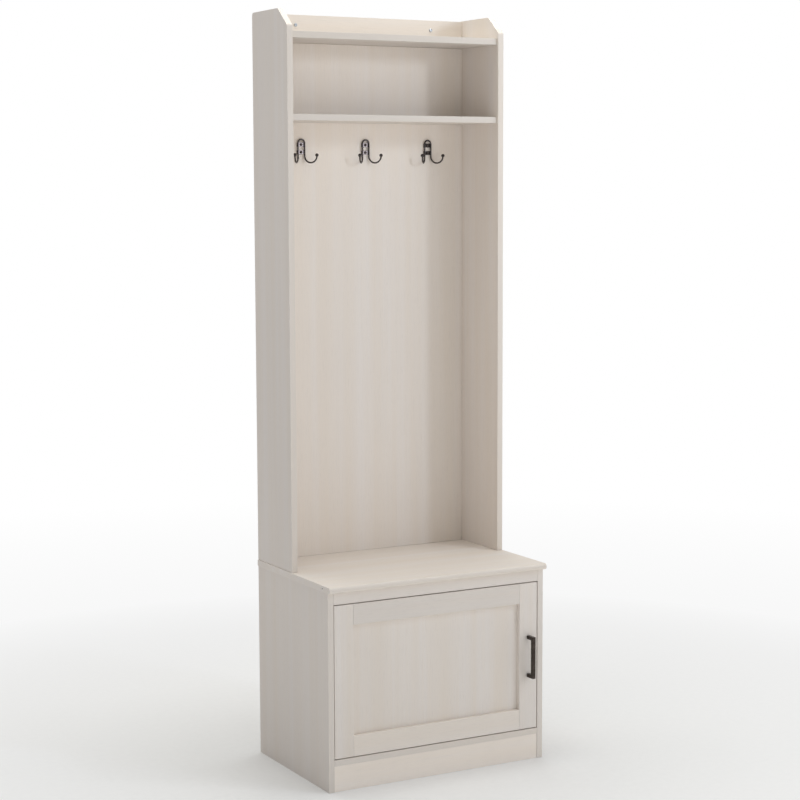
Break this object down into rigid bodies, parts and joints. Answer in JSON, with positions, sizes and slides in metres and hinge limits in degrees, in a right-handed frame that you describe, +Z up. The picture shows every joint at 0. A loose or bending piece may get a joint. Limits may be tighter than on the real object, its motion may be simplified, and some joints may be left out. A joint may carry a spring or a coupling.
{
  "type": "hall tree with hooks",
  "caption": "Tall narrow hall tree: bench cabinet with an inset framed door, a high back with double coat hooks, and open shelves at the top.",
  "frame": {"origin": "on the floor, under the middle of the object's width and depth, the pull included", "axes": "+Z up, -Y towards the front where the door and hooks are, +X to the right as seen from the front"},
  "size_m": [0.6, 0.414, 1.84],
  "materials": {
    "whitewashed_board": "satin whitewashed wood-grain laminate on 15 mm board",
    "laminated_sheet": "satin whitewashed wood-grain face on 3 mm sheet",
    "dark_bronze": "semi-gloss dark bronze",
    "zinc": "bright zinc plate",
    "nickel": "nickel plate",
    "beech": "raw beech",
    "ivory_plastic": "moulded",
    "grey_plastic": "moulded"
  },
  "bodies": {
    "cabinet": {"cabinet_back": "laminated_sheet", "cabinet_floor": "whitewashed_board", "coat_hook_centre": "dark_bronze", "coat_hook_left": "dark_bronze", "coat_hook_right": "dark_bronze", "front_rail": "whitewashed_board", "gallery_rail": "whitewashed_board", "hinge_arm_bottom": "nickel", "hinge_arm_pin_bottom": "nickel", "hinge_arm_pin_top": "nickel", "hinge_arm_top": "nickel", "hinge_plate_bottom": "nickel", "hinge_plate_top": "nickel", "hook_screw_centre_lower": "dark_bronze", "hook_screw_centre_upper": "dark_bronze", "hook_screw_left_lower": "dark_bronze", "hook_screw_left_upper": "dark_bronze", "hook_screw_right_lower": "dark_bronze", "hook_screw_right_upper": "dark_bronze", "inner_shelf": "whitewashed_board", "lower_side_left": "whitewashed_board", "lower_side_right": "whitewashed_board", "magnetic_catch": "grey_plastic", "middle_shelf": "whitewashed_board", "plinth": "whitewashed_board", "seat_board": "whitewashed_board", "seat_dowel_back_left": "beech", "seat_dowel_back_right": "beech", "seat_dowel_front_left": "beech", "seat_dowel_front_right": "beech", "seat_end_plug_left": "ivory_plastic", "seat_end_plug_right": "ivory_plastic", "shelf_pin_back_left": "zinc", "shelf_pin_back_right": "zinc", "shelf_pin_front_left": "zinc", "shelf_pin_front_right": "zinc", "top_shelf": "whitewashed_board", "upper_back_panel": "whitewashed_board", "upper_side_left": "whitewashed_board", "upper_side_right": "whitewashed_board", "wall_screw_left": "zinc", "wall_screw_right": "zinc"},
    "hinge_links": {"hinge_link_bottom": "nickel", "hinge_link_top": "nickel"},
    "door": {"door_panel": "laminated_sheet", "door_pull": "dark_bronze", "door_rail_bottom": "whitewashed_board", "door_rail_top": "whitewashed_board", "door_stile_hinge": "whitewashed_board", "door_stile_pull": "whitewashed_board", "hinge_cup_bottom": "nickel", "hinge_cup_pin_bottom": "nickel", "hinge_cup_pin_top": "nickel", "hinge_cup_top": "nickel", "pull_screw_lower": "zinc", "pull_screw_upper": "zinc", "strike_plate": "zinc"}
  },
  "joints": [
    {"name": "hinge_link_swing", "type": "hinge", "parent": "cabinet", "child": "hinge_links", "pos_m": [-0.25898, -0.15269, 0.2635], "axis": [0, 0, 1], "range_deg": [0, 50]},
    {"name": "door_swing", "type": "hinge", "parent": "hinge_links", "child": "door", "pos_m": [-0.27, -0.1676, 0.2635], "axis": [0, 0, -1], "range_deg": [0, 150]}
  ],
  "couplings": [
    {"joint": "hinge_link_swing", "follows": "door_swing", "ratio": 0.33333}
  ]
}
